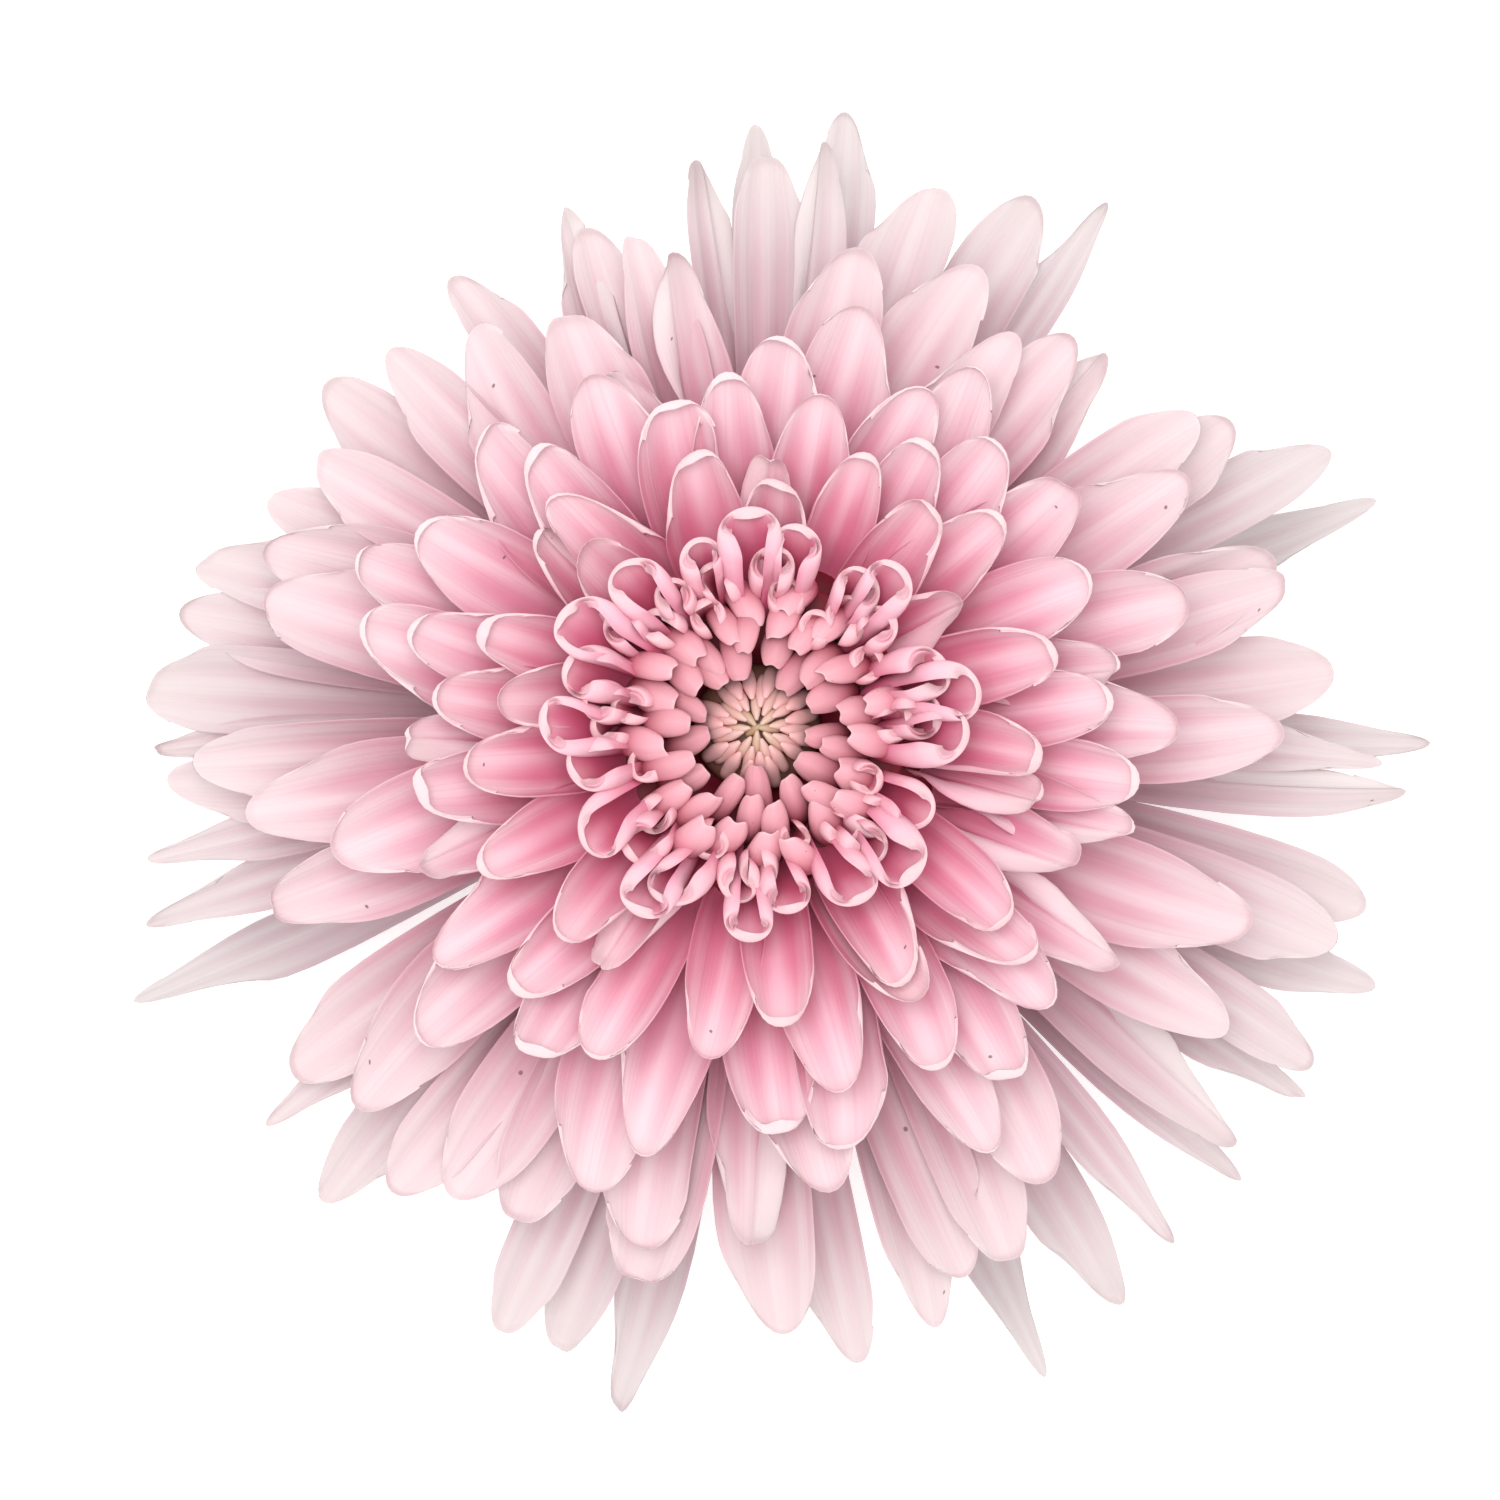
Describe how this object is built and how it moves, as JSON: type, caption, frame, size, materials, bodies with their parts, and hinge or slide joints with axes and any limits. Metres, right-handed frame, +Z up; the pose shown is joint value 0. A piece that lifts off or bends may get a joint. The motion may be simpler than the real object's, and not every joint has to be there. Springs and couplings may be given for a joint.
{
  "type": "football mum bloom",
  "caption": "Large pink chrysanthemum bloom cut close under its head, with broad pale outer ray florets in layers round a crown of spoon florets, hoods and closed centre florets.",
  "frame": {"origin": "middle of the bloom's footprint, on the surface that it lies on", "axes": "+Z up out of the face of the bloom, +Y towards the top of the face as pictured"},
  "size_m": [0.131, 0.1312, 0.0517],
  "materials": {
    "pale_petal": "satin, thin and slightly translucent petal",
    "pink_petal": "satin, thin and slightly translucent petal",
    "crown_petal": "satin petal",
    "centre_petal": "matt young petal",
    "green_stalk": "matt green stalk and bracts"
  },
  "bodies": {
    "root": {"outer_ray_florets": "pale_petal", "middle_ray_florets": "pink_petal", "crown_florets": "crown_petal", "centre_florets": "centre_petal", "cup_and_stalk": "green_stalk"}
  },
  "joints": []
}
